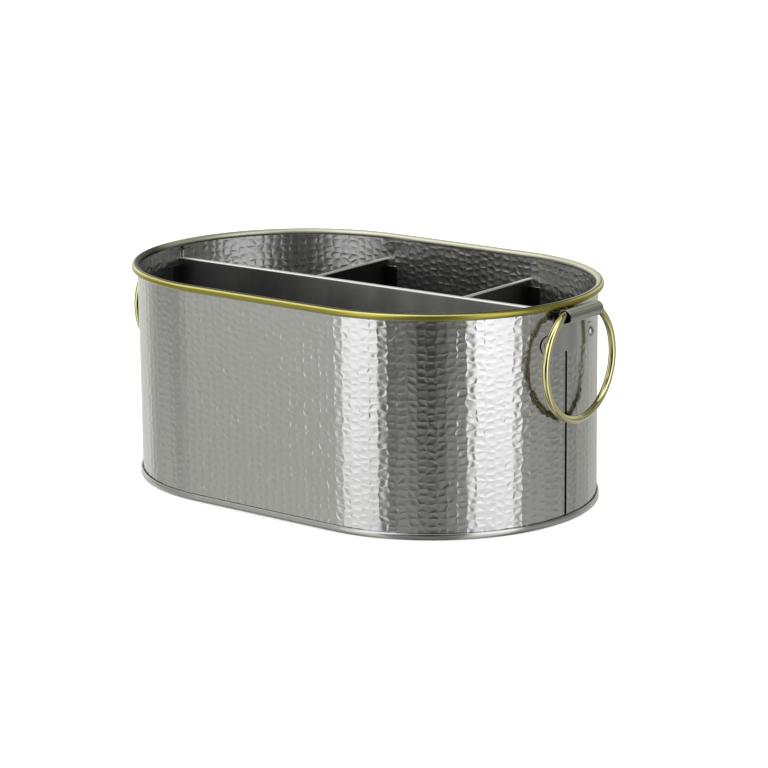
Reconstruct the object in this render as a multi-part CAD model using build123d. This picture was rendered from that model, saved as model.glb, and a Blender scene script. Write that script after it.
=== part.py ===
# A table caddy of hammered sheet metal with round ends.
# Two half shells are locked together by a folded seam at each end, seamed to a base pan below
# and closed by a round bead above. Inside stand one long divider and two cross dividers.
# At each end a ring hangs in a rolled tube, whose plate is riveted over the seam.
# Origin: centre of the caddy on the table. +X to the right end, +Y to the back, +Z up. Millimetres.

import os
from math import asin, cos, degrees, hypot, radians, sin, sqrt

from build123d import *

os.makedirs("parts", exist_ok=True)

# Overall size, over the rim bead
rim_length = 305.0
rim_width = 200.0
caddy_height = 131.0

# Sheet and fits
shell_sheet = 0.6
divider_sheet = 0.7
bracket_sheet = 0.7
fold_gap = 0.05

# Rim bead: a split tube
bead_diameter = 4.6
bead_wall = 0.5
edge_in_bead = 2.0

# Foot: the base's lip closed round the shells' hem
foot_height = 3.6
hem_height = 2.6
floor_clear = 0.2
lip_round = 0.25

# End seams: the slit seen from outside, and the lock folded behind it
slit_offset = 2.2
slit_width = 1.1
lock_width = 7.0
lock_engage = 0.8
lock_below_bead = 1.0
lock_above_foot = 0.8

# Long divider: its top's drop below the bead's top at each end
long_drop_left = 10.2
long_drop_right = 8.3
hem_depth = 5.0
hem_thick = 2.7
flange_width = 8.0
flange_below_top = 5.0
flange_above_floor = 6.0

# Cross dividers, in the back half
cross_left_x = -57.5
cross_right_x = 54.0
cross_drop = 16.0

# Brackets. The right one sits a little behind the caddy's centre line
bracket_shift_right = 4.4
bracket_shift_left = 0.0
tube_bore = 7.4
tube_length = 32.4
tube_bead_gap = 0.7
tube_step = 0.9
ear_spread = 45.6
ear_radius = 5.6
ear_drop = 16.1
neck_round = 2.4
joggle_height = 2.6

# Rivets
rivet_shank = 3.2
rivet_hole_gap = 0.05
rivet_head = 7.0
rivet_head_height = 1.7
rivet_tail = 5.6
rivet_tail_height = 0.8

# Rings. The right one rests a little to the front in its tube
ring_bar = 4.4
ring_radius = 33.5
ring_drop = 28.5
ring_corner = 5.0
ring_slide_right = -1.4
pivot_lift = 1.0

# Worked out: the round ends
end_centre = (rim_length - rim_width) / 2
bead_radius = bead_diameter / 2
bead_r = rim_width / 2 - bead_radius
bead_z = caddy_height - bead_radius
shell_inside = rim_width / 2 - bead_diameter + bead_wall
shell_outside = shell_inside + shell_sheet
shell_top = bead_z - bead_radius + edge_in_bead
long_top_left = caddy_height - long_drop_left
long_top_right = caddy_height - long_drop_right
cross_top = caddy_height - cross_drop

# Worked out: the floor sits level with the lip's top or just above it
floor_top = foot_height + floor_clear
floor_bottom = floor_top - shell_sheet
shell_bottom = shell_sheet + fold_gap
hem_outside = shell_outside + shell_sheet
lip_inside = hem_outside + fold_gap
lip_outside = lip_inside + shell_sheet


def section(*points):
    """A flat outline from points of (distance from the end's centre, height)."""
    return Polygon(*points, align=None)


def ring_of(outline):
    """Carry an outline round the caddy's whole plan: two straight sides and two round ends."""
    side = extrude(Plane.YZ * outline, end_centre, both=True)
    half_turn = revolve(Plane.XZ * outline, Axis.Z, 180)
    right_end = Pos(end_centre, 0, 0) * (Rot(0, 0, -90) * half_turn)
    left_end = Pos(-end_centre, 0, 0) * (Rot(0, 0, 90) * half_turn)
    return side + Rot(0, 0, 180) * side + right_end + left_end


def plan_solid(radius, bottom, top):
    """A solid of the caddy's plan shape, from one height to another."""
    return Pos(0, 0, bottom) * extrude(SlotCenterToCenter(2 * end_centre, 2 * radius), top - bottom)


def block(x0, x1, y0, y1, z0, z1):
    """A block between two corners."""
    return Pos((x0 + x1) / 2, (y0 + y1) / 2, (z0 + z1) / 2) * Box(x1 - x0, y1 - y0, z1 - z0)


def layer(r_in, r_out, start, end):
    """A strip of sheet seen from above, following the right end's curve between two arc lengths."""
    turn_start = start / shell_outside
    turn_end = end / shell_outside
    middle = (turn_start + turn_end) / 2

    def spot(r, turn):
        return (end_centre + r * cos(turn), r * sin(turn))

    outer = ThreePointArc(spot(r_out, turn_start), spot(r_out, middle), spot(r_out, turn_end))
    inner = ThreePointArc(spot(r_in, turn_end), spot(r_in, middle), spot(r_in, turn_start))
    return make_face([outer, Line(outer @ 1, inner @ 0), inner, Line(inner @ 1, outer @ 0)])


def half_shell():
    """The front half shell. The back one is the same pressing turned half round."""
    slit_front = -slit_offset - slit_width / 2
    slit_back = -slit_offset + slit_width / 2
    wall = section(
        (shell_inside, shell_bottom),
        (hem_outside, shell_bottom),
        (hem_outside, shell_bottom + hem_height),
        (shell_outside, shell_bottom + hem_height),
        (shell_outside, shell_top),
        (shell_inside, shell_top),
    )
    reach = rim_length
    front_right = block(0, reach, -reach, slit_front, 0, caddy_height)
    front_left = block(-reach, 0, -reach, -slit_back, 0, caddy_height)
    shell = ring_of(wall) & (front_right + front_left)

    # Four layers of sheet from the outside in: 0 is the wall, 1 to 3 lie behind it
    pitch = shell_sheet + fold_gap
    depth = [shell_outside - i * pitch for i in range(4)]
    lock_start = slit_front - lock_width
    # This shell's right edge folds back under itself into layer 2
    fold_end = lock_start + lock_engage + shell_sheet
    hook = layer(depth[2] - shell_sheet, depth[2], fold_end, slit_front)
    hook += layer(depth[2] - shell_sheet, depth[0], slit_front - shell_sheet, slit_front)
    # The other shell's edge dives to layer 3, passes under and folds up into layer 1
    tuck_end = slit_front - shell_sheet - lock_engage
    joggle = layer(depth[3] - shell_sheet, depth[0], slit_back, slit_back + shell_sheet)
    joggle += layer(depth[3] - shell_sheet, depth[3], lock_start, slit_back + shell_sheet)
    joggle += layer(depth[3] - shell_sheet, depth[1], lock_start, lock_start + shell_sheet)
    joggle += layer(depth[1] - shell_sheet, depth[1], lock_start, tuck_end)

    lock_bottom = foot_height + lock_above_foot
    lock_top = caddy_height - bead_diameter - lock_below_bead
    lock_height = lock_top - lock_bottom
    hook_edge = Pos(0, 0, lock_bottom) * extrude(hook, lock_height)
    joggle_edge = Rot(0, 0, 180) * (Pos(0, 0, lock_bottom) * extrude(joggle, lock_height))
    return shell + hook_edge + joggle_edge


def base_pan():
    """Floor, leg and lip of one sheet: the lip comes up outside the shells' hem as the foot band."""
    leg_outside = shell_inside - fold_gap
    lip = section(
        (leg_outside - shell_sheet, 0),
        (lip_outside, 0),
        (lip_outside, foot_height),
        (lip_inside, foot_height),
        (lip_inside, shell_sheet),
        (leg_outside, shell_sheet),
        (leg_outside, floor_top),
        (leg_outside - shell_sheet, floor_top),
    )
    corners = [v for v in lip.vertices() if v.X > lip_outside - fold_gap]
    lip = fillet(corners, lip_round)
    floor = plan_solid(leg_outside - shell_sheet / 2, floor_bottom, floor_top)
    return ring_of(lip) + floor


def rim_bead():
    """The gold bead: a tube split along its underside, closed over the shells' top edge."""
    tube = Circle(bead_radius) - Circle(bead_radius - bead_wall)
    slot_in = shell_inside - bead_r - fold_gap
    slot_out = shell_outside - bead_r + fold_gap
    slot_top = shell_top - bead_z + fold_gap
    slot = section(
        (slot_in, -bead_diameter),
        (slot_out, -bead_diameter),
        (slot_out, slot_top),
        (slot_in, slot_top),
    )
    return ring_of(Pos(bead_r, bead_z) * (tube - slot))


def end_lock_room():
    """The space that the seam's folds take inside, at both ends."""
    inner = shell_inside - 4 * (shell_sheet + fold_gap)
    start = -slit_offset - slit_width / 2 - lock_width - shell_sheet
    end = -slit_offset + slit_width / 2 + 2 * shell_sheet
    room = extrude(layer(inner, shell_outside, start, end), caddy_height)
    return room + Rot(0, 0, 180) * room


def folded_panel(length, top):
    """A flat panel along X with its top edge folded down to the back, standing on z = 0."""
    half = divider_sheet / 2
    back = -half + hem_thick
    bend_z = top - hem_thick / 2
    leg_end = top - hem_depth
    panel = section((-half, -top), (half, -top), (half, bend_z), (-half, bend_z))
    leg_front = back - divider_sheet
    leg = section((leg_front, leg_end), (back, leg_end), (back, bend_z), (leg_front, bend_z))
    bend_radius = hem_thick / 2
    bend = Circle(bend_radius) - Circle(bend_radius - divider_sheet)
    bend = Pos(bend_radius - half, bend_z) * bend
    bend &= section((-half, bend_z), (back, bend_z), (back, top), (-half, top))
    return extrude(Plane.YZ * (panel + leg + bend), length / 2, both=True)


def wall_flange(x0, x1, y0, y1, top):
    """A flange that lies against the wall's inner face, within the given span of the plan."""
    bottom = floor_top + flange_above_floor
    outer = shell_inside - fold_gap
    inner = outer - divider_sheet
    strip = section((inner, bottom), (outer, bottom), (outer, top), (inner, top))
    return ring_of(strip) & block(x0, x1, y0, y1, 0, caddy_height)


def long_divider():
    """The divider on the caddy's centre line. Its top edge climbs a little to the right."""
    span = 2 * (end_centre + shell_inside)
    climb = degrees(asin((long_top_right - long_top_left) / span))
    middle_top = (long_top_left + long_top_right) / 2
    cavity = plan_solid(shell_inside - fold_gap, floor_top, caddy_height)
    panel = Rot(0, -climb, 0) * folded_panel(span + rim_width, middle_top)
    panel = (panel & cavity) - end_lock_room()
    half = divider_sheet / 2
    right_top = long_top_right - flange_below_top
    left_top = long_top_left - flange_below_top
    right_flange = wall_flange(0, rim_length, -half, flange_width, right_top)
    left_flange = wall_flange(-rim_length, 0, -flange_width, half, left_top)
    return panel + right_flange + left_flange


def cross_divider(x):
    """A divider from the long one to the back wall, flanged to the right at both ends."""
    half = divider_sheet / 2
    front = half + fold_gap
    panel = Pos(x, 0, 0) * (Rot(0, 0, 90) * folded_panel(2 * rim_width, cross_top))
    cavity = plan_solid(shell_inside - fold_gap, floor_top, caddy_height)
    behind = block(-rim_length, rim_length, front, rim_width, 0, caddy_height)
    bottom = floor_top + flange_above_floor
    top = cross_top - flange_below_top
    front_flange = block(x - half, x + flange_width, front, front + divider_sheet, bottom, top)
    back_flange = wall_flange(x - half, x + flange_width, 0, rim_width, top)
    return (panel & cavity & behind) + front_flange + back_flange


# Worked out: the bracket's plate lies on the shell. Its tube stands a step out, under the bead
plate_inside = shell_outside + fold_gap
plate_outside = plate_inside + bracket_sheet
tube_outer = tube_bore / 2 + bracket_sheet
tube_x = end_centre + plate_inside + tube_step + tube_outer
bead_x = end_centre + bead_r
bead_to_tube = bead_radius + tube_bead_gap + tube_outer
tube_z = bead_z - sqrt(bead_to_tube**2 - (tube_x - bead_x) ** 2)
ear_height = tube_z - ear_drop


def about_right_end(solid, turn):
    """Place a solid, made about the origin's upright axis, at an angle round the right end."""
    return Pos(end_centre, 0, 0) * (Rot(0, 0, turn) * solid)


def rivet_bar(radius, r_from, r_to):
    """A round bar along X at the rivets' height."""
    return Pos(r_from, 0, ear_height) * (Rot(0, 90, 0) * extrude(Circle(radius), r_to - r_from))


def at_ears(solid, shift):
    """A solid placed at both ears of a right-hand bracket that sits at a shift along Y."""
    turns = [degrees(asin((shift + side * ear_spread / 2) / shell_outside)) for side in (1, -1)]
    return [about_right_end(solid, turn) for turn in turns]


def rivet_holes(shift):
    """The two holes of a bracket, through plate and shell."""
    drill = rivet_bar(rivet_shank / 2 + rivet_hole_gap, shell_inside - 4, plate_outside + 4)
    back_hole, front_hole = at_ears(drill, shift)
    return back_hole + front_hole


def rivet():
    """A dome-headed rivet along X, with its tail clinched inside the shell."""
    head_seat = plate_outside
    tail_seat = shell_inside - fold_gap
    tail_end = tail_seat - rivet_tail_height
    dome_radius = (rivet_head**2 / 4 + rivet_head_height**2) / (2 * rivet_head_height)
    dome_centre = head_seat + rivet_head_height - dome_radius
    half_way = asin(rivet_head / 2 / dome_radius) / 2
    rim = (head_seat, rivet_head / 2)
    mid = (dome_centre + dome_radius * cos(half_way), dome_radius * sin(half_way))
    dome = ThreePointArc(rim, mid, (dome_centre + dome_radius, 0))
    steps = Polyline(
        (dome_centre + dome_radius, 0),
        (tail_end, 0),
        (tail_end, rivet_tail / 2),
        (tail_seat, rivet_tail / 2),
        (tail_seat, rivet_shank / 2),
        (head_seat, rivet_shank / 2),
        rim,
    )
    return Pos(0, 0, ear_height) * revolve(make_face([dome, steps]), Axis.X, 360)


def joggle(y0, y1, bottom, top, flat_inside):
    """The drawn step from the curved plate below to the flat strip above it."""

    def on_plate(radius, y):
        return (end_centre + sqrt(radius**2 - y**2), y)

    middle = (y0 + y1) / 2
    outer = ThreePointArc(*[on_plate(plate_outside, y) for y in (y0, middle, y1)])
    inner = ThreePointArc(*[on_plate(plate_inside, y) for y in (y1, middle, y0)])
    curved = make_face([outer, Line(outer @ 1, inner @ 0), inner, Line(inner @ 1, outer @ 0)])
    flat_outside = flat_inside + bracket_sheet
    flat = section((flat_outside, y0), (flat_outside, y1), (flat_inside, y1), (flat_inside, y0))
    return loft([Pos(0, 0, bottom) * curved, Pos(0, 0, top) * flat])


def bracket(shift):
    """A right-hand bracket: a plate with two ears, whose top is rolled into the ring's tube."""
    half_tube = tube_length / 2
    half_ears = ear_spread / 2
    shoulder = ear_height + ear_radius
    joggle_top = tube_z - tube_bore / 2
    joggle_bottom = joggle_top - joggle_height
    ears = Pos(0, ear_height) * SlotCenterToCenter(2 * half_ears, 2 * ear_radius)
    neck_height = joggle_bottom - ear_height
    neck = Pos(0, ear_height + neck_height / 2) * Rectangle(tube_length, neck_height)
    outline = ears + neck
    level = [v for v in outline.vertices() if abs(v.Y - shoulder) < fold_gap]
    outline = fillet([v for v in level if abs(v.X) < half_tube + fold_gap], neck_round)
    ring_wall = Circle(plate_outside) - Circle(plate_inside)
    curved_sheet = Pos(end_centre, 0, 0) * extrude(ring_wall, caddy_height)
    punched = Pos(0, shift, 0) * extrude(Plane.YZ * outline, rim_length)
    plate = curved_sheet & punched

    y0 = shift - half_tube
    y1 = shift + half_tube
    flat_inside = tube_x - tube_outer
    strip = block(flat_inside, flat_inside + bracket_sheet, y0, y1, joggle_top, tube_z)
    tube_place = Pos(tube_x, shift, tube_z)
    rolled = tube_place * extrude(Plane.XZ * Circle(tube_outer), half_tube, both=True)
    bore = tube_place * extrude(Plane.XZ * Circle(tube_bore / 2), half_tube, both=True)
    step = joggle(y0, y1, joggle_bottom, joggle_top, flat_inside)
    return plate + step + (strip + rolled - bore) - rivet_holes(shift)


def ring_handle(shift):
    """A right-hand ring: a round bar bent to a circle, straight where it passes through the tube."""
    straight_z = tube_z + pivot_lift
    inner = ring_radius - ring_corner
    centre_z = tube_z - ring_drop
    corner_z = straight_z - ring_corner
    corner_y = sqrt(inner**2 - (corner_z - centre_z) ** 2)
    touch_y = corner_y * ring_radius / inner
    touch_z = centre_z + (corner_z - centre_z) * ring_radius / inner
    bend = hypot(corner_y, corner_z - centre_z)
    mid_y = corner_y + ring_corner * sin(asin(corner_y / bend) / 2)
    mid_z = corner_z + ring_corner * cos(asin(corner_y / bend) / 2)
    straight = Line((0, -corner_y, straight_z), (0, corner_y, straight_z))
    right_bend = ThreePointArc((0, corner_y, straight_z), (0, mid_y, mid_z), (0, touch_y, touch_z))
    circle = ThreePointArc((0, touch_y, touch_z), (0, 0, centre_z - ring_radius), (0, -touch_y, touch_z))
    left_bend = ThreePointArc((0, -touch_y, touch_z), (0, -mid_y, mid_z), (0, -corner_y, straight_z))
    path = Wire([straight, right_bend, circle, left_bend])
    bar = Plane(origin=straight @ 0, z_dir=(0, 1, 0)) * Circle(ring_bar / 2)
    return Pos(tube_x, shift, 0) * sweep(bar, path)


def turned(shape):
    """The same piece at the other end of the caddy."""
    return Rot(0, 0, 180) * shape


# The left bracket and ring are right-hand ones turned half round, so their shift is turned too
all_holes = rivet_holes(bracket_shift_right) + turned(rivet_holes(-bracket_shift_left))
front = half_shell() - all_holes
back = turned(half_shell()) - all_holes
rivets = at_ears(rivet(), bracket_shift_right)
rivets += [turned(r) for r in at_ears(rivet(), -bracket_shift_left)]

pieces = {
    "wall_front": front,
    "wall_back": back,
    "base_pan": base_pan(),
    "rim_bead": rim_bead(),
    "divider_long": long_divider(),
    "divider_cross_left": cross_divider(cross_left_x),
    "divider_cross_right": cross_divider(cross_right_x),
    "bracket_right": bracket(bracket_shift_right),
    "bracket_left": turned(bracket(-bracket_shift_left)),
    "bracket_rivets": Compound(children=[r.solid() for r in rivets]),
    "ring_right": ring_handle(bracket_shift_right + ring_slide_right),
    "ring_left": turned(ring_handle(-bracket_shift_left)),
}
for name, shape in pieces.items():
    export_step(shape, f"parts/{name}.step")
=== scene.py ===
# %% [markdown]
# # A hammered caddy for the table
# The caddy is an open box of thin polished steel with round ends. Its walls are hammered all over,
# its rim is a gold-coloured bead and a gold-coloured ring hangs at each end. The CAD frame already
# has every piece at its true size, so this lesson is about finish: the dents, the folds, the soft
# bends of bar and sheet, and the light that makes polished metal look like metal.

from math import atan2, cos, degrees, hypot, pi, radians, sin, sqrt

import bpy
from mathutils import Matrix, Vector


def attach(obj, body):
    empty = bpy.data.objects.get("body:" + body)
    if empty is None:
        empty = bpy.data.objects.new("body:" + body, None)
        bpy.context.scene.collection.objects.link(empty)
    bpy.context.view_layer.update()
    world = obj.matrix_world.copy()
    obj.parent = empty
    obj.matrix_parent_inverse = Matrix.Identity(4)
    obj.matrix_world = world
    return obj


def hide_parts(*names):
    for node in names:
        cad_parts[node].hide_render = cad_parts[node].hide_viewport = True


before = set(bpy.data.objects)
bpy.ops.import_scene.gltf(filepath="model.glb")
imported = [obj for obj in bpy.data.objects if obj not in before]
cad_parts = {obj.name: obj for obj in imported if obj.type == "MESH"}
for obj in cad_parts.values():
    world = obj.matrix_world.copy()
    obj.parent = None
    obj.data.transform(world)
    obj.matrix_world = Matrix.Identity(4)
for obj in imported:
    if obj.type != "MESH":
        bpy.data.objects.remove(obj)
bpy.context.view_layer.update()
print("CAD nodes:", sorted(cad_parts))

# %% [markdown]
# ## Sizes
# The same sizes as in the CAD, in metres. The plan is a straight middle with a half circle at each
# end, so one radius and one offset describe everything that follows the wall.

# %% Sizes that several pieces use
mm = 0.001
end_centre = 52.5 * mm
sheet = 0.6 * mm
wall_outside = 96.5 * mm
wall_middle = wall_outside - sheet / 2
wall_bottom = 0.65 * mm
wall_top = 128.4 * mm
bead_z = 128.7 * mm
print("wall radius", wall_outside, "end centre", end_centre)

# %% [markdown]
# ## The camera
# The photograph was taken from a little above, to the right of the front, with a long lens.
# The camera looks at a point near the caddy's middle and leans by about half a degree.

# %% Camera
camera_data = bpy.data.cameras.new("camera")
camera_data.lens = 132.43
camera_data.sensor_width = 36.0
camera_data.clip_end = 100.0
camera = bpy.data.objects.new("camera", camera_data)
bpy.context.scene.collection.objects.link(camera)
camera_place = Vector((1.0367, -1.2933, 0.4659))
camera_aim = Vector((0.00996, 0.00607, 0.05960))
lean = Matrix.Rotation(radians(-0.577), 4, "Z")
turn = (camera_aim - camera_place).to_track_quat("-Z", "Y").to_matrix().to_4x4()
camera.matrix_world = Matrix.Translation(camera_place) @ turn @ lean
bpy.context.scene.camera = camera
print("camera distance", round((camera_aim - camera_place).length, 3))

# %% [markdown]
# ## The light
# Polished metal shows its surroundings more than its own colour. The studio is a tent of soft
# light: grey cloth all round, a dark gap where the photographer stands, and a tall soft box on
# each side of that gap. The tent is built in the world's nodes, by compass direction, so that it
# has no edges to fall into view. A few small helpers keep the node work short from here on.

# %% Helpers: nodes, arithmetic, fades and blends


def add(tree, kind, inputs=(), **settings):
    """Add a node, set it, and fill its inputs with values or links."""
    node = tree.nodes.new(kind)
    for name, value in settings.items():
        setattr(node, name, value)
    for name, value in dict(inputs).items():
        if isinstance(value, bpy.types.NodeSocket):
            tree.links.new(value, node.inputs[name])
        else:
            node.inputs[name].default_value = value
    return node


def math(tree, operation, a, b=0.0, c=0.0):
    """One step of arithmetic."""
    return add(tree, "ShaderNodeMath", {0: a, 1: b, 2: c}, operation=operation).outputs[0]


def vectors(tree, operation, *values):
    """One step of arithmetic on vectors."""
    node = add(tree, "ShaderNodeVectorMath", enumerate(values), operation=operation)
    return node.outputs["Value" if operation == "DOT_PRODUCT" else "Vector"]


def split(tree, vector):
    """The three parts of a vector."""
    return add(tree, "ShaderNodeSeparateXYZ", {0: vector}).outputs


def fade(tree, value, start, end, low=0.0, high=1.0):
    """A smooth passage from one value to another while a quantity goes from start to end."""
    inputs = {"Value": value, "From Min": start, "From Max": end, "To Min": low, "To Max": high}
    return add(tree, "ShaderNodeMapRange", inputs, interpolation_type="SMOOTHSTEP").outputs[0]


def blend(tree, factor, first, second):
    """A colour between two, each fixed or a link, as a quantity goes from 0 to 1."""
    inputs = {"Factor": factor, "A": first, "B": second}
    for name in "AB":
        if not isinstance(inputs[name], bpy.types.NodeSocket):
            inputs[name] = (*inputs[name], 1)
    return add(tree, "ShaderNodeMix", inputs, data_type="RGBA").outputs["Result"]


print("helpers ready")

# %% [markdown]
# ## A compass for the tent
# Every panel is placed by how far it is turned from the camera, so that the tent can be planned
# from the bands of light seen in the wall: a band's place tells which direction it mirrors.

# %% The light tent
scene = bpy.context.scene
scene.view_settings.view_transform = "Standard"
world = bpy.data.worlds.new("light_tent")
scene.world = world
world.use_nodes = True
tent = world.node_tree
tent.nodes.clear()
toward = add(tent, "ShaderNodeTexCoord").outputs["Generated"]
toward_x, toward_y, height = split(tent, toward)
compass = math(tent, "ARCTAN2", toward_x, math(tent, "MULTIPLY", toward_y, -1.0))
photographer = radians(38.7)
from_camera = math(tent, "WRAP", math(tent, "SUBTRACT", compass, photographer), pi, -pi)
print("camera's compass direction", round(degrees(photographer), 1))

# %% [markdown]
# ## Panels round the tent
# Each panel is a stretch of the compass with its own brightness. The tall soft boxes stand beside
# the camera, the dark gap between them is the photographer, and stands and flags fill the rest.
# Down by the floor every panel counts for less, because white paper lies there.

# %% Panels
# Each panel: first and last compass direction from the camera and softness, in degrees, then the
# light that it adds to the cloth's, near the floor and near the horizon. Heights go from -1,
# straight down, over 0 at the horizon to 1, straight up.
panels = {
    "far left cloth": (-185, -136, 9, 0.22, 0.3),
    "left flag": (-123, -93, 22, -0.05, -0.19),
    "left soft box": (-69, -40, 2, 0.36, 0.84),
    "photographer": (-38, 22, 2, -0.21, -0.38),
    "camera": (-15, 3, 5, -0.02, -0.08),
    "right soft box": (24, 59, 2, 0.46, 1.0),
    "right stand": (61, 116, 3, -0.13, -0.28),
    "right cloth": (116, 138, 6, -0.1, -0.1),
}
cloth = 0.52
ripple = 0.065
panel_lean = radians(-14)
folds = add(tent, "ShaderNodeTexNoise", {"Vector": toward, "Scale": 4.2, "Detail": 2.0}).outputs["Fac"]
light = fade(tent, folds, 0.3, 0.7, cloth - ripple, cloth + ripple)
# Above the horizon the panels on the camera's left lean toward it
leaning = math(tent, "MULTIPLY", fade(tent, height, -0.08, 0.08), fade(tent, from_camera, -0.09, -0.38))
leaned = math(tent, "MULTIPLY_ADD", leaning, panel_lean, from_camera)
for first, last, soft, low, high in panels.values():
    middle = radians(first + last) / 2
    half = radians(last - first) / 2
    turned = math(tent, "WRAP", math(tent, "SUBTRACT", leaned, middle), pi, -pi)
    away = math(tent, "ABSOLUTE", turned)
    mask = fade(tent, away, half - radians(soft), half + radians(soft), 1.0, 0.0)
    extra = fade(tent, height, -0.38, -0.12, low, high)
    light = math(tent, "MULTIPLY_ADD", mask, extra, light)

print("panels:", len(panels))

# %% [markdown]
# ## Overhead
# A light hangs under a dark roof, in front of the caddy and to both sides of the camera. It draws
# the fine highlight along the rim. The wall behind the caddy, opposite the camera, is lit a little
# just above the horizon, and near the floor the whole tent grows darker.

# %% Roof, hung light and far wall
roof_dimming = 0.45
far_wall_light = 0.15
low_dimming = 0.5
light = math(tent, "MAXIMUM", light, 0.01)
roof = fade(tent, height, 0.5, 0.68)
light = math(tent, "MULTIPLY", fade(tent, roof, 0.0, 1.0, 1.0, roof_dimming), light)
before = fade(tent, toward_y, 0.0, -0.28)
over_camera = fade(tent, math(tent, "ABSOLUTE", from_camera), radians(30), radians(50))
shaded = math(tent, "MAXIMUM", over_camera, fade(tent, height, 0.7, 0.85))
hung = math(tent, "MULTIPLY", math(tent, "MULTIPLY", before, shaded), fade(tent, height, 0.3, 0.55))
light = math(tent, "ADD", hung, light)
facing_camera = vectors(tent, "DOT_PRODUCT", toward, (sin(photographer), -cos(photographer), 0))
opposite = fade(tent, facing_camera, -0.5, -0.75)
not_high = fade(tent, height, 0.32, 0.42, 1.0, 0.0)
just_above = math(tent, "MULTIPLY", fade(tent, height, 0.04, 0.12), not_high)
far_wall = math(tent, "MULTIPLY", just_above, opposite)
light = math(tent, "MULTIPLY_ADD", far_wall, far_wall_light, light)
light = math(tent, "MULTIPLY", fade(tent, height, -0.92, -0.5, low_dimming, 1.0), light)
print("tent nodes:", len(tent.nodes))

# %% [markdown]
# ## What the camera and the paper see
# The metal mirrors the tent, but the backdrop stays plain white and even, and so does the paper
# under the caddy. The cloth is a little warm, and the soft boxes are a little cool.

# %% Backdrop and the tent's colour
warm = (1.0, 1.0, 0.935)
cool = (0.985, 0.985, 1.0)
white = (1, 1, 1)
paper_light = 1.0
tint = blend(tent, fade(tent, light, 0.7, 1.1), warm, cool)
path = add(tent, "ShaderNodeLightPath").outputs
plain = math(tent, "MAXIMUM", path["Is Camera Ray"], path["Is Diffuse Ray"])
level = math(tent, "MULTIPLY_ADD", path["Is Diffuse Ray"], paper_light, 1.0)
levels = {"Factor": plain, "A": light, "B": level}
strength = add(tent, "ShaderNodeMix", levels, data_type="FLOAT").outputs[0]
shining = {"Color": blend(tent, plain, tint, white), "Strength": strength}
shine = add(tent, "ShaderNodeBackground", shining)
add(tent, "ShaderNodeOutputWorld", {"Surface": shine.outputs[0]})
print("tent nodes:", len(tent.nodes))

# %% [markdown]
# ## The floor
# A plain white floor, wide enough to reach past the frame on every side. Its reflection is left
# out, so that the polished wall shows the tent down to the foot, as it does in the photograph.

# %% Floor
bpy.ops.object.select_all(action="DESELECT")
bpy.ops.mesh.primitive_plane_add(size=40, location=(0, 0, -0.0002))
floor = bpy.context.object
floor.name = "floor"
paper = bpy.data.materials.new("white_paper")
paper.use_nodes = True
paper_shader = paper.node_tree.nodes["Principled BSDF"]
paper_shader.inputs["Base Color"].default_value = (0.93, 0.93, 0.93, 1)
paper_shader.inputs["Roughness"].default_value = 0.9
floor.data.materials.append(paper)
floor.visible_glossy = False
print("floor made")

# %% [markdown]
# ## Where a point lies round the wall
# The dents follow the sheet, not the room. This group turns a point into two lengths: how far
# round the plan it lies, and how high. The flat middle counts along X and the round ends count
# along their arc, so the dents keep their size all the way round. It also says how far the point
# is from the plan's centre line, which tells the sheet's outer face from its inner one.

# %% Group: wrap round the plan


def new_group(name, inputs, outputs):
    """An empty shader group with named sockets. Each is a name and a kind of socket."""
    group = bpy.data.node_groups.new(name, "ShaderNodeTree")
    for label, kind in inputs:
        group.interface.new_socket(label, in_out="INPUT", socket_type="NodeSocket" + kind)
    for label, kind in outputs:
        group.interface.new_socket(label, in_out="OUTPUT", socket_type="NodeSocket" + kind)
    return group, group.nodes.new("NodeGroupInput").outputs, group.nodes.new("NodeGroupOutput").inputs


def here(tree):
    """Where the shaded point lies, in three parts."""
    return split(tree, add(tree, "ShaderNodeTexCoord").outputs["Object"])


def past_middle(tree, x):
    """How far a point's X is held to the straight middle, and how far it lies past that."""
    held = math(tree, "MINIMUM", math(tree, "MAXIMUM", x, -end_centre), end_centre)
    return held, math(tree, "SUBTRACT", x, held)


wrap, wrap_in, wrap_out = new_group(
    "wrap_round_plan", [("Side", "Float")], [("Wrapped", "Vector"), ("Out", "Float")]
)
# The front's dents and the back's are taken this far apart, in metres, so that they differ
apart = 2.0
here_x, here_y, here_z = here(wrap)
x = math(wrap, "MULTIPLY", here_x, wrap_in["Side"])
y = math(wrap, "MULTIPLY", here_y, wrap_in["Side"])
straight, past = past_middle(wrap, x)
angle = math(wrap, "ARCTAN2", past, math(wrap, "MULTIPLY", y, -1.0))
along = math(wrap, "MULTIPLY_ADD", angle, wall_outside, straight)
far = math(wrap, "MULTIPLY_ADD", wrap_in["Side"], apart, along)
wrapped = add(wrap, "ShaderNodeCombineXYZ", {"X": far, "Y": here_z})
out = math(wrap, "SQRT", math(wrap, "ADD", math(wrap, "POWER", past, 2.0), math(wrap, "POWER", y, 2.0)))
wrap.links.new(wrapped.outputs[0], wrap_out["Wrapped"])
wrap.links.new(out, wrap_out["Out"])
print("group:", wrap.name)

# %% [markdown]
# ## The dents
# The hammer comes down in columns, blow upon blow, and every column starts at its own height.
# Each blow leaves a shallow bowl that ends in a ridge all round. A bowl's depth is the product of
# two arches, one across and one up, so it is nothing on every ridge and neighbours always meet.

# %% Group: hammer dents, the grid of blows
dents, dents_in, dents_out = new_group(
    "hammer_dents",
    [("Place", "Vector"), ("Width", "Float"), ("Height", "Float"), ("Disorder", "Float")],
    [("Bowl", "Float"), ("Lean", "Float"), ("Blow", "Float")],
)
size = add(dents, "ShaderNodeCombineXYZ", {"X": dents_in["Width"], "Y": dents_in["Height"], "Z": 1.0})
cell = vectors(dents, "DIVIDE", dents_in["Place"], size.outputs[0])
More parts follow.
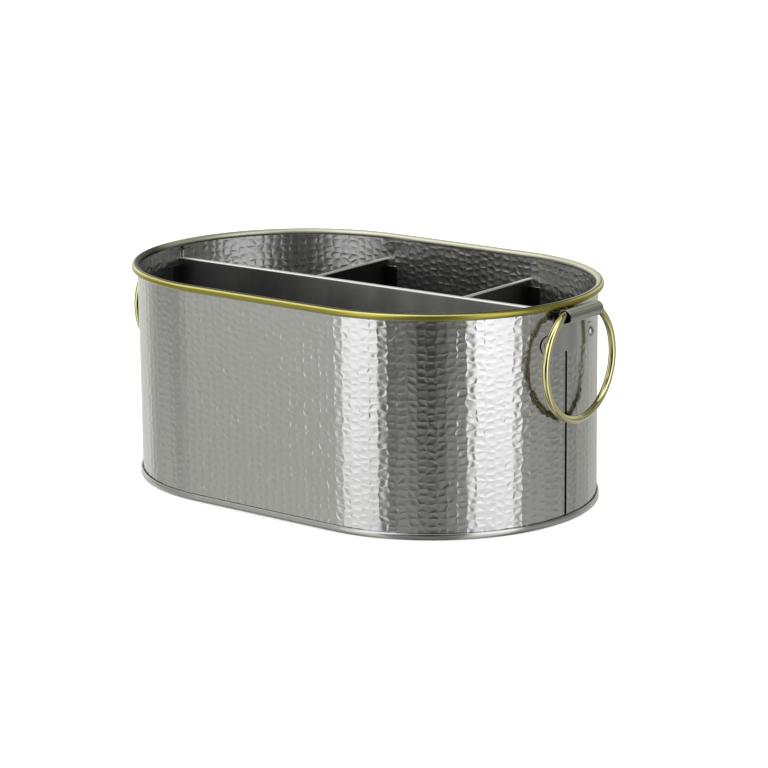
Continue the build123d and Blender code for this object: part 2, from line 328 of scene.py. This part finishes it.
# The hand is never quite steady: a slow sway moves the blows a little off their grid
sway = add(dents, "ShaderNodeTexNoise", {"Vector": cell, "Scale": 0.75, "Detail": 1.0})
off_grid = vectors(dents, "ADD", sway.outputs["Color"], (-0.5, -0.5, -0.5))
struck = vectors(dents, "MULTIPLY_ADD", off_grid, dents_in["Disorder"], cell)
spot_x, spot_y, _ = split(dents, struck)
column = math(dents, "FLOOR", spot_x)
start = add(dents, "ShaderNodeTexWhiteNoise", {"W": column}, noise_dimensions="1D").outputs["Value"]
climb = math(dents, "MULTIPLY_ADD", start, 0.6, spot_y)
row = math(dents, "FLOOR", climb)
print("group:", dents.name)

# %% [markdown]
# ## One blow
# Across a blow and up it, a point counts from -0.5 to 0.5. The two arches are 1 in the middle and
# 0 at the ridge. Chance gives each blow its own force, and lets the bowl lean to one side.

# %% Group: hammer dents, the shape of a blow
across = math(dents, "SUBTRACT", math(dents, "SUBTRACT", spot_x, column), 0.5)
up = math(dents, "SUBTRACT", math(dents, "SUBTRACT", climb, row), 0.5)
arch_across = math(dents, "MULTIPLY_ADD", math(dents, "POWER", across, 2.0), -4.0, 1.0)
arch_up = math(dents, "MULTIPLY_ADD", math(dents, "POWER", up, 2.0), -4.0, 1.0)
bowl = math(dents, "MULTIPLY", arch_across, arch_up)
which = add(dents, "ShaderNodeCombineXYZ", {"X": column, "Y": row})
chance = add(dents, "ShaderNodeTexWhiteNoise", {"Vector": which.outputs[0]}, noise_dimensions="2D")
luck_x, luck_y, luck_z = split(dents, chance.outputs["Color"])
force = math(dents, "MULTIPLY_ADD", luck_x, 0.8, 0.6)
side_lean = math(dents, "MULTIPLY", math(dents, "MULTIPLY_ADD", luck_y, 2.0, -1.0), across)
lean = math(dents, "MULTIPLY_ADD", math(dents, "SUBTRACT", luck_z, 0.5), up, side_lean)
dents.links.new(math(dents, "MULTIPLY", bowl, force), dents_out["Bowl"])
dents.links.new(math(dents, "MULTIPLY", lean, bowl), dents_out["Lean"])
dents.links.new(chance.outputs["Value"], dents_out["Blow"])
print("nodes in the group:", len(dents.nodes))

# %% [markdown]
# ## Handling marks
# No metal that is sold and touched is evenly bright. Soft cloudy smears change its gloss over a
# few centimetres, and hair-fine lines from wiping cross it. One group gives both, and each
# material decides how much of them it takes.

# %% Group: handling marks
marks, marks_in, marks_out = new_group(
    "handling_marks",
    [("Place", "Vector"), ("Stretch", "Vector")],
    [("Smear", "Float"), ("Hairline", "Float")],
)
smears = {"Vector": marks_in["Place"], "Scale": 38.0, "Detail": 3.0, "Roughness": 0.55}
cloud = add(marks, "ShaderNodeTexNoise", smears).outputs["Fac"]
marks.links.new(fade(marks, cloud, 0.35, 0.68), marks_out["Smear"])
drawn = vectors(marks, "MULTIPLY", marks_in["Place"], marks_in["Stretch"])
hairlines = {"Vector": drawn, "Scale": 1.0, "Detail": 4.0, "Roughness": 0.6}
lines = add(marks, "ShaderNodeTexNoise", hairlines).outputs["Fac"]
marks.links.new(fade(marks, lines, 0.38, 0.62), marks_out["Hairline"])
print("group:", marks.name)

# %% [markdown]
# ## Which way a face looks
# The rim's painted highlight and shade and the brackets' dark cut edges depend on whether a face looks
# out from the caddy or along its wall.
# This group compares the face's direction with the way out from the plan's centre line.

# %% Group: looks outward
outward, _, outward_out = new_group("looks_outward", [], [("Outward", "Float")])
here_x, here_y, _ = here(outward)
_, past = past_middle(outward, here_x)
flat = add(outward, "ShaderNodeCombineXYZ", {"X": past, "Y": here_y})
way_out = vectors(outward, "NORMALIZE", flat.outputs[0])
normal = add(outward, "ShaderNodeTexCoord").outputs["Normal"]
outward.links.new(vectors(outward, "DOT_PRODUCT", way_out, normal), outward_out["Outward"])
print("group:", outward.name)

# %% [markdown]
# ## Starting a metal
# Every finish starts the same way: a metal of one colour, with shared groups placed in it that
# take values of its own. What varies over the piece is then linked over the plain colour.

# %% Helpers: place a group, start a metal


def place_group(tree, group, inputs=()):
    """A shared group placed in a material with its own values."""
    return add(tree, "ShaderNodeGroup", inputs, node_tree=group).outputs


def new_metal(name, colour):
    """A metal with its own colour, ready for a finish."""
    material = bpy.data.materials.new(name)
    material.use_nodes = True
    shader = material.node_tree.nodes["Principled BSDF"]
    shader.inputs["Metallic"].default_value = 1.0
    shader.inputs["Base Color"].default_value = (*colour, 1)
    return material, material.node_tree, shader.inputs


print("shared groups:", [group.name for group in bpy.data.node_groups])

# %% [markdown]
# ## Relief of the wall
# The relief adds up three things, in metres: the blows, hairlines from polishing, and the sheet's
# own slight bow between rim and foot. The flat middle lies well on the anvil, so the blows lean
# less there, and they stand out more on the inner face, which is polished less.

# %% Hammered steel: relief
bow_height = 65 * mm
bow = 0.16
bowl_depth = 0.075 * mm
lean_depth = 0.2 * mm
hairline_depth = 0.001 * mm
inner_extra = 0.8
middle_lean = 0.55


def wall_relief(tree, up, inside, blow, hairline):
    """The wall's relief, in metres."""
    off_middle = math(tree, "SUBTRACT", up, bow_height)
    bowed = math(tree, "MULTIPLY", math(tree, "POWER", off_middle, 2.0), -bow)
    from_middle = math(tree, "ABSOLUTE", here(tree)["X"])
    steadiness = fade(tree, from_middle, 12 * mm, 40 * mm, middle_lean, 1.0)
    leans = math(tree, "MULTIPLY", blow["Lean"], steadiness)
    bowls = math(tree, "MULTIPLY", blow["Bowl"], -bowl_depth)
    bowls = math(tree, "MULTIPLY_ADD", leans, lean_depth, bowls)
    deeper = math(tree, "MULTIPLY_ADD", inside, inner_extra, 1.0)
    relief = math(tree, "MULTIPLY_ADD", bowls, deeper, bowed)
    return math(tree, "MULTIPLY_ADD", hairline, hairline_depth, relief)


print("bowl", bowl_depth, "m deep, bow", round(bow * bow_height**2 / mm, 2), "mm")

# %% [markdown]
# ## Flare and seam
# Rolled sheet seldom stands quite straight, so its inner face seems to flare a little toward the
# rim round the ends. Only the shading leans here, and the mesh keeps the wall's straight section.
# The depth of the slit between the shells is painted near black, as shade.

# %% Hammered steel: flare and seam
flare = 0.2
seam_middle = 2.5 * mm


def flare_in(tree, rolled, up, normal):
    """Lean the shading up toward the rim where the sheet is rolled."""
    rise = math(tree, "MULTIPLY", rolled, fade(tree, up, 70 * mm, 105 * mm, 0.0, flare))
    lift = add(tree, "ShaderNodeCombineXYZ", {"Z": rise}).outputs[0]
    return vectors(tree, "NORMALIZE", vectors(tree, "ADD", normal, lift))


def seam_painted_shade(tree, out):
    """How much painted shade there is: all of it in the depth of the slit between the shells."""
    here_x, here_y, _ = here(tree)
    from_seam = math(tree, "MULTIPLY_ADD", here_y, math(tree, "SIGN", here_x), seam_middle)
    near = fade(tree, math(tree, "ABSOLUTE", from_seam), 1.35 * mm, 1.45 * mm, 1.0, 0.0)
    deep = fade(tree, out, wall_outside - 0.2 * mm, wall_outside - 0.05 * mm, 1.0, 0.0)
    outer = fade(tree, out, wall_outside - 2 * mm, wall_outside - 1.9 * mm)
    return math(tree, "MULTIPLY", math(tree, "MULTIPLY", near, deep), outer)


print("the flare leans by", round(degrees(atan2(flare, 1)), 1), "degrees at most")

# %% [markdown]
# ## Hammered steel
# The wall is rolled from sheet that was struck all over and then polished, so each dent is a small
# mirror. The inner face stays duller, and is painted darker, as shade, where it is rolled round the
# ends.

# %% Material: hammered steel
wall_steel = (0.67, 0.67, 0.665)
rolled_painted_shade = (0.34, 0.34, 0.335)
slit_painted_shade = (0.012, 0.012, 0.011)
blow_width = 5.6 * mm
blow_height = 4.35 * mm
polished = 0.13
inner_dulling = 0.15


def hammered(name, side):
    """Polished steel with dents that follow one half of the wall."""
    material, tree, shader = new_metal(name, wall_steel)
    wrapped, out = place_group(tree, wrap, {"Side": side})
    grid = {"Place": wrapped, "Width": blow_width, "Height": blow_height, "Disorder": 0.9}
    blow = place_group(tree, dents, grid)
    touched = place_group(tree, marks, {"Place": wrapped, "Stretch": (300, 6000, 1)})
    inside = fade(tree, out, wall_middle - 0.1 * mm, wall_middle + 0.1 * mm, 1.0, 0.0)
    gloss = math(tree, "MULTIPLY_ADD", inside, inner_dulling, polished)
    gloss = math(tree, "MULTIPLY_ADD", touched["Smear"], 0.03, gloss)
    gloss = math(tree, "MULTIPLY_ADD", blow["Blow"], 0.02, gloss)
    tree.links.new(gloss, shader["Roughness"])
    up = split(tree, wrapped)["Y"]
    relief = wall_relief(tree, up, inside, blow, touched["Hairline"])
    bump = add(tree, "ShaderNodeBump", {"Height": relief, "Distance": 1.0}).outputs[0]
    from_middle = math(tree, "ABSOLUTE", here(tree)["X"])
    at_end = fade(tree, from_middle, end_centre - 4 * mm, end_centre + 18 * mm)
    rolled = math(tree, "MULTIPLY", inside, at_end)
    tree.links.new(flare_in(tree, rolled, up, bump), shader["Normal"])
    # Painted shade: the inner face round the ends is darker
    sheet_colour = blend(tree, rolled, wall_steel, rolled_painted_shade)
    # Painted shade: the slit between the shells is near black
    tree.links.new(blend(tree, seam_painted_shade(tree, out), sheet_colour, slit_painted_shade), shader["Base Color"])
    return material


print("columns of blows round the wall:", round((4 * end_centre + 2 * pi * wall_outside) / blow_width))

# %% [markdown]
# ## Drawn metal
# Bar, tube and plain sheet come from rollers and dies, which leave hairlines along the metal. Wiping
# leaves smears. The same recipe serves every smooth piece, with its own stretch of hairlines.

# %% Material: drawn metal


def touch(tree, stretch):
    """Handling marks for a smooth piece."""
    place = add(tree, "ShaderNodeTexCoord").outputs["Object"]
    return place_group(tree, marks, {"Place": place, "Stretch": stretch})


def soften(tree, shader, touched, rough, change):
    """A roughness that smears and hairlines each raise a little."""
    gloss = math(tree, "MULTIPLY_ADD", touched["Smear"], change, rough)
    gloss = math(tree, "MULTIPLY_ADD", touched["Hairline"], change, gloss)
    tree.links.new(gloss, shader["Roughness"])


def grain(tree, shader, touched, depth):
    """Hairlines that stand up by a depth, in millimetres."""
    bump = add(tree, "ShaderNodeBump", {"Height": touched["Hairline"], "Distance": depth * mm})
    tree.links.new(bump.outputs[0], shader["Normal"])


def satin(name, colour, stretch, rough, change, depth):
    """Smooth metal with drawn hairlines and soft smears."""
    material, tree, shader = new_metal(name, colour)
    touched = touch(tree, stretch)
    soften(tree, shader, touched, rough, change)
    grain(tree, shader, touched, depth)
    return material, tree, shader


steel, _, _ = satin("sheet_steel", (0.66, 0.66, 0.645), (60, 60, 5), 0.2, 0.04, 0.0004)
print("drawn metal:", steel.name)

# %% [markdown]
# ## The rings' gold
# The rings are plated and lacquered. The clear lacquer gives a sharp highlight over a softer one.
# Along the middle of the bar, where it faces the eye, a dark core is painted in as shade, most of all
# halfway up the ring, and the lowest arc is painted brighter as a highlight. In the wall's mirror the
# ring is painted darker, as a painted dark reflection, and has no lacquer.

# %% Material: ring gold
ring_yellow = (0.82, 0.77, 0.3)
ring_painted_arc_light = (0.98, 0.92, 0.4)
ring_painted_dark_reflection = (0.27, 0.26, 0.15)
ring_painted_core_shade = (0.1, 0.075, 0.01)
halfway_up = 93 * mm
gold, tree, shader = satin("ring_gold", ring_yellow, (120, 120, 900), 0.03, 0.02, 0.001)
shader["Coat Weight"].default_value = 1.0
shader["Coat Roughness"].default_value = 0.03
shader["Coat IOR"].default_value = 2.2
mirrored = add(tree, "ShaderNodeLightPath").outputs["Is Glossy Ray"]
direct = math(tree, "SUBTRACT", 1.0, mirrored)
tree.links.new(direct, shader["Coat Weight"])
up = here(tree)["Z"]
facing = add(tree, "ShaderNodeLayerWeight", {"Blend": 0.5}).outputs["Facing"]
# Painted shade: a dark core where the bar faces the eye, deepest halfway up the ring
painted_core_shade = math(tree, "MULTIPLY", fade(tree, facing, 0.02, 0.09, 1.0, 0.0), direct)
from_halfway = math(tree, "ABSOLUTE", math(tree, "SUBTRACT", up, halfway_up))
painted_core_shade = math(tree, "MULTIPLY", painted_core_shade, fade(tree, from_halfway, 4 * mm, 13 * mm, 1.0, 0.2))
# Painted highlight: the lowest arc of the ring is made brighter
lowest_arc_painted_light = blend(tree, fade(tree, up, 82 * mm, 66 * mm), ring_yellow, ring_painted_arc_light)
# Painted reflection: in the wall's mirror the ring takes a darker colour
seen = blend(tree, mirrored, lowest_arc_painted_light, ring_painted_dark_reflection)
tree.links.new(blend(tree, painted_core_shade, seen, ring_painted_core_shade), shader["Base Color"])
print("gold:", gold.name)

# %% [markdown]
# ## The rim's gold
# The bead has the same plating. Its own colour is deep yellow where it looks out; a paler painted
# highlight lies where it looks up, it is painted pale and made dull where it looks in, and a brown
# painted shade runs along the crest of the front.

# %% Material: rim gold
rim_outward = (0.46, 0.41, 0.06)
rim_painted_highlight = (0.78, 0.74, 0.34)
rim_inward_painted_pale = (0.86, 0.86, 0.68)
rim_painted_crest_shade = (0.09, 0.085, 0.055)
bead_gold, tree, shader = new_metal("bead_gold", rim_outward)
grain(tree, shader, touch(tree, (120, 120, 900)), 0.001)
facing = place_group(tree, outward)["Outward"]
looks_in = fade(tree, facing, 0.1, -0.1)
gloss = math(tree, "MULTIPLY_ADD", looks_in, 0.3, 0.16)
gloss = math(tree, "MULTIPLY_ADD", fade(tree, facing, 0.72, 0.95), 0.16, gloss)
tree.links.new(gloss, shader["Roughness"])
# Painted highlight: paler colour where the bead looks up
highlighted = blend(tree, fade(tree, facing, 0.98, 0.7), rim_outward, rim_painted_highlight)
inner = blend(tree, looks_in, highlighted, rim_inward_painted_pale)
# On the front half the painted brown shade of the crest goes on down the bead's inner side
front = fade(tree, here(tree)["Y"], 0.0, -30 * mm)
crest_end = math(tree, "MAXIMUM", fade(tree, facing, 0.0, 0.1), front)
# Painted shade: a brown line along the crest
painted_crest_shade = math(tree, "MULTIPLY", fade(tree, facing, 0.58, 0.44), crest_end)
tree.links.new(blend(tree, painted_crest_shade, inner, rim_painted_crest_shade), shader["Base Color"])
print("rim gold:", bead_gold.name)

# %% [markdown]
# ## The brackets' steel
# A bracket is one piece of sheet, rolled to a tube along its top. The flat plate is as bright as
# the wall. The tube is greyer from the rolling. The cut edges are dark, partly as raw edges and partly
# as painted shade of the gap between plate and wall.

# %% Material: bracket steel
plate_grey = (0.66, 0.66, 0.65)
tube_grey = (0.56, 0.575, 0.525)
cut_edge_and_gap_shade = (0.03, 0.03, 0.028)
bracket_steel, tree, shader = satin("bracket_steel", plate_grey, (40, 700, 700), 0.14, 0.04, 0.002)
up = here(tree)["Z"]
on_tube = fade(tree, up, 115 * mm, 119 * mm)
on_plate = fade(tree, up, 114 * mm, 115 * mm, 1.0, 0.0)
facing = place_group(tree, outward)["Outward"]
# Partly raw cut edge, partly painted shade of the gap between plate and wall
cut_edge_and_shade = math(tree, "MULTIPLY", fade(tree, facing, 0.45, 0.8, 1.0, 0.0), on_plate)
sheet_colour = blend(tree, on_tube, plate_grey, tube_grey)
tree.links.new(blend(tree, cut_edge_and_shade, sheet_colour, cut_edge_and_gap_shade), shader["Base Color"])
print("bracket steel:", bracket_steel.name)

# %% [markdown]
# ## The dividers' steel
# The dividers are flat sheet with a brushed, dull face. The face is painted darker toward the left,
# where less light reaches it, and the cross dividers get a darker copy as painted shade. The folded
# tops are painted pale as a highlight.

# %% Material: divider steel
top_painted_light = (0.97, 0.97, 0.95)


def divider_finish(name, left, right):
    """Dull sheet, of one brightness at the left and another at the right, with a pale top."""
    material, tree, shader = satin(name, top_painted_light, (60, 60, 5), 0.34, 0.04, 0.0004)
    across = fade(tree, here(tree)["X"], -130 * mm, 60 * mm)
    face = blend(tree, across, (left, left, left), (right, right, 0.96 * right))
    looks_up = split(tree, add(tree, "ShaderNodeTexCoord").outputs["Normal"])["Z"]
    folded = fade(tree, looks_up, 0.1, 0.4)
    # Painted highlight: faces that look up are made pale
    tree.links.new(blend(tree, folded, face, top_painted_light), shader["Base Color"])
    return material


long_steel = divider_finish("long_divider_steel", 0.13, 0.85)
# Painted shade: the cross dividers get a darker copy of the same finish
cross_steel = divider_finish("cross_divider_steel", 0.06, 0.1)
print("divider steel:", long_steel.name, cross_steel.name)

# %% [markdown]
# ## The foot's steel
# The base's lip is closed round the shells' hem by a roller with a hollow face, which presses the
# band a little round. Its relief does the same for the light, brighter above and darker below.

# %% Material: foot steel
band_middle = 2.2 * mm
crown = 135.0
foot_steel, tree, shader = new_metal("foot_steel", (0.62, 0.62, 0.6))
soften(tree, shader, touch(tree, (300, 300, 2000)), 0.16, 0.03)
off_middle = math(tree, "SUBTRACT", here(tree)["Z"], band_middle)
pressed = math(tree, "MULTIPLY", math(tree, "POWER", off_middle, 2.0), -crown)
out = place_group(tree, wrap, {"Side": 1.0})["Out"]
on_band = fade(tree, out, wall_outside + 0.4 * mm, wall_outside + 0.6 * mm)
relief = math(tree, "MULTIPLY", pressed, on_band)
round_band = add(tree, "ShaderNodeBump", {"Height": relief, "Distance": 1.0})
tree.links.new(round_band.outputs[0], shader["Normal"])
print("materials:", len(bpy.data.materials))

# %% [markdown]
# ## Bending sheet
# The caddy is bent from strips of sheet, and so are the pieces here. A flat strip is added as a
# plane, and its end is then drawn on: straight by an extrusion, round a bend by a spin about the
# bend's centre. The strip has no thickness until it is whole, and then gets all of it at once.

# %% Helpers: start a strip, pick its end, draw it on


def pick(choose):
    """In edit mode, select only the edges whose two ends both pass a test."""
    bpy.ops.mesh.select_all(action="DESELECT")
    bpy.ops.object.mode_set(mode="OBJECT")
    mesh = bpy.context.object.data
    for edge in mesh.edges:
        edge.select = all(choose(mesh.vertices[i].co) for i in edge.vertices)
    for vertex in mesh.vertices:
        vertex.select = choose(vertex.co)
    bpy.ops.object.mode_set(mode="EDIT")


def bend(centre, angle, steps, axis=(0, 0, 1)):
    """Draw the selected edges round a centre by an angle in degrees."""
    bpy.ops.mesh.spin(steps=steps, angle=-radians(angle), center=centre, axis=axis)


def draw(x=0.0, y=0.0, z=0.0):
    """Draw the selected edges straight on."""
    bpy.ops.mesh.extrude_region_move(TRANSFORM_OT_translate={"value": (x, y, z)})


def close_up(thickness, smooth=30):
    """Merge what meets, turn the faces one way, and give the strip its thickness."""
    bpy.ops.mesh.select_all(action="SELECT")
    bpy.ops.mesh.remove_doubles(threshold=0.00001)
    bpy.ops.mesh.normals_make_consistent(inside=False)
    bpy.ops.object.mode_set(mode="OBJECT")
    piece = bpy.context.object
    if thickness:
        solid = piece.modifiers.new("thickness", "SOLIDIFY")
        solid.thickness = thickness
        solid.offset = 0
        bpy.ops.object.modifier_apply(modifier=solid.name)
    bpy.ops.object.shade_smooth_by_angle(angle=radians(smooth))
    return piece


print("ready to bend sheet of", sheet, "m")

# %% [markdown]
# ## The half shells
# One shell is the front panel with a quarter turn at each side. Its right edge is folded under
# itself. Its left edge dives beneath the neighbour's fold and is hooked into it, which locks the
# two shells together without solder. Only the slit between fold and dive shows outside.

# %% Half shell
slit_front = -2.75 * mm
slit_back = -1.65 * mm
lock_start = -9.75 * mm
hook_end = -8.35 * mm
tuck_end = -4.15 * mm
layer_gap = 0.65 * mm
lock_low = 4.4 * mm
lock_high = 125.4 * mm


def round_end(side, radius, length):
    """A point of the plan, at a radius and an arc length round the right or left end."""
    turn = length / wall_outside
    return Vector((side * (end_centre + radius * cos(turn)), side * radius * sin(turn), 0))


def half_shell(name, side):
    """The front shell, or with side -1 the back one, which is the same piece turned half round."""
    upper = wall_middle - layer_gap
    lower = wall_middle - 2 * layer_gap
    outer = layer_gap + sheet / 2
    middle = (lock_low + lock_high) / 2
    bpy.ops.object.select_all(action="DESELECT")
    bpy.ops.mesh.primitive_plane_add(
        size=1,
        location=(0, -side * wall_middle, middle),
        rotation=(radians(90), 0, 0),
    )
    piece = bpy.context.object
    piece.name = name
    bpy.ops.transform.resize(value=(2 * end_centre, 1, lock_high - lock_low))
    bpy.ops.object.transform_apply(location=True, rotation=True, scale=True)
    bpy.ops.object.mode_set(mode="EDIT")
    bpy.ops.mesh.select_mode(type="EDGE")
    # The right end: a quarter turn less the slit, the fold, and the hook under it
    right = (side * end_centre, 0, 0)
    pick(lambda p: side * p.x > end_centre - 1e-5)
    start = (slit_front - outer) / wall_outside
    bend(right, 90 + degrees(start), 44)
    bend(round_end(side, upper, slit_front - outer), 180, 8)
    bend(right, -degrees((slit_front - outer - hook_end) / wall_outside), 2)
    # The left end: past the slit it dives two layers down, runs under the fold and hooks up
    left = (-side * end_centre, 0, 0)
    pick(lambda p: side * p.x < -end_centre + 1e-5)
    dive = slit_back + sheet / 2 + layer_gap
    bend(left, -90 - degrees(-dive / wall_outside), 44)
    bend(round_end(-side, upper, dive), -90, 5)
    down = round_end(-side, lower, dive - layer_gap) - round_end(-side, upper, dive - layer_gap)
    draw(*down)
    bend(round_end(-side, lower, dive - 2 * layer_gap), 90, 5)
    bend(left, degrees((dive - 2 * layer_gap - lock_start - outer) / -wall_outside), 3)
    bend(round_end(-side, lower, lock_start + outer), -180, 8)
    bend(left, degrees((tuck_end - lock_start - outer) / wall_outside), 2)
    # The wall itself, without the folds, goes on up into the bead and down into the foot
    near = wall_middle - 0.1 * mm

    def on_wall(p):
        past = max(abs(p.x) - end_centre, 0)
        return hypot(past, p.y) > near

    pick(lambda p: on_wall(p) and p.z > lock_high - 1e-5)
    draw(z=wall_top - lock_high)
    pick(lambda p: on_wall(p) and p.z < lock_low + 1e-5)
    draw(z=wall_bottom - lock_low)
    return close_up(sheet)


shells = {"front": half_shell("shell_front", 1), "back": half_shell("shell_back", -1)}
for name, shell in shells.items():
    shell.data.materials.append(hammered("hammered_" + name, 1.0 if name == "front" else -1.0))
    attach(shell, "caddy")
    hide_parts("wall_" + name)
    print(name, "faces", len(shell.data.polygons), "size", [round(v, 4) for v in shell.dimensions])

# %% [markdown]
# ## The rim bead
# The bead is a thin tube, slit along its underside and closed over the shells' top edge. Its
# section is a circle without its lowest stretch, drawn along the sides and spun round the ends.

# %% Rim bead
bead_radius = 2.3 * mm
bead_wall = 0.5 * mm
bead_ring = 97.7 * mm
bead_slit = 2.03 * mm
bpy.ops.object.select_all(action="DESELECT")
bpy.ops.mesh.primitive_circle_add(
    vertices=36,
    radius=bead_radius - bead_wall / 2,
    location=(end_centre, -bead_ring, bead_z),
    rotation=(radians(90), radians(5), radians(90)),
)
bead = bpy.context.object
bead.name = "bead"
bpy.ops.object.transform_apply(location=True, rotation=True, scale=True)
bpy.ops.object.mode_set(mode="EDIT")
pick(lambda p: p.z < bead_z - bead_slit)
bpy.ops.mesh.delete(type="EDGE_FACE")
bpy.ops.mesh.select_all(action="SELECT")
bend((end_centre, 0, 0), 180, 96)
draw(x=-2 * end_centre)
bend((-end_centre, 0, 0), 180, 96)
draw(x=2 * end_centre)
close_up(bead_wall, 60)
bead.data.materials.append(bead_gold)
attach(bead, "caddy")
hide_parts("rim_bead")
print("bead", len(bead.data.polygons), [round(v, 4) for v in bead.dimensions])

# %% [markdown]
# ## The rings
# A ring is one round bar. It runs straight through its tube, turns down at a small bend on each
# side, and goes round in a large arc below. A disc, the bar's section, is drawn along that path.

# %% Rings
tube_x = 154.35 * mm
tube_z = 122.5732 * mm
ring_bar = 2.2 * mm
ring_radius = 33.5 * mm
ring_corner = 5.0 * mm
ring_z = tube_z - 28.5 * mm
straight_z = tube_z + 1.0 * mm
right_ring_shift = 3.0 * mm


def ring(name, side, shift):
    """The ring at the right end, or with side -1 at the left, a little way along its tube."""
    inner = ring_radius - ring_corner
    corner_z = straight_z - ring_corner
    corner_y = sqrt(inner**2 - (corner_z - ring_z) ** 2)
    lean_out = degrees(atan2(corner_y, corner_z - ring_z))
    x = side * tube_x
    bpy.ops.object.select_all(action="DESELECT")
    bpy.ops.mesh.primitive_circle_add(
        vertices=28,
        radius=ring_bar,
        location=(x, shift - corner_y, straight_z),
        rotation=(radians(90), 0, 0),
    )
    piece = bpy.context.object
    piece.name = name
    bpy.ops.object.transform_apply(location=True, rotation=True, scale=True)
    bpy.ops.object.mode_set(mode="EDIT")
    bpy.ops.mesh.select_all(action="SELECT")
    draw(y=2 * corner_y)
    bend((x, shift + corner_y, corner_z), -lean_out, 8, (1, 0, 0))
    bend((x, shift, ring_z), -(360 - 2 * lean_out), 96, (1, 0, 0))
    bend((x, shift - corner_y, corner_z), -lean_out, 8, (1, 0, 0))
    close_up(0, 60)
    piece.data.materials.append(gold)
    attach(piece, name)
    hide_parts(name)
    print(name, len(piece.data.polygons), [round(v, 4) for v in piece.dimensions])


ring("ring_right", 1, right_ring_shift)
ring("ring_left", -1, 0)

# %% [markdown]
# ## Finish for the pieces that stay
# The brackets, dividers, base and rivets keep the CAD's meshes, which already have their rolled
# tubes, folded tops and domed heads. They only need their metal, so each gets its own finish, and
# what has none of its own gets plain drawn steel.

# %% Dress the CAD nodes
dress = {"bracket_right": bracket_steel, "bracket_left": bracket_steel, "base_pan": foot_steel}
dress.update(divider_long=long_steel, divider_cross_left=cross_steel, divider_cross_right=cross_steel)
for name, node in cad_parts.items():
    node.data.materials.clear()
    node.data.materials.append(dress.get(name, steel))
print("dressed", len(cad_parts))
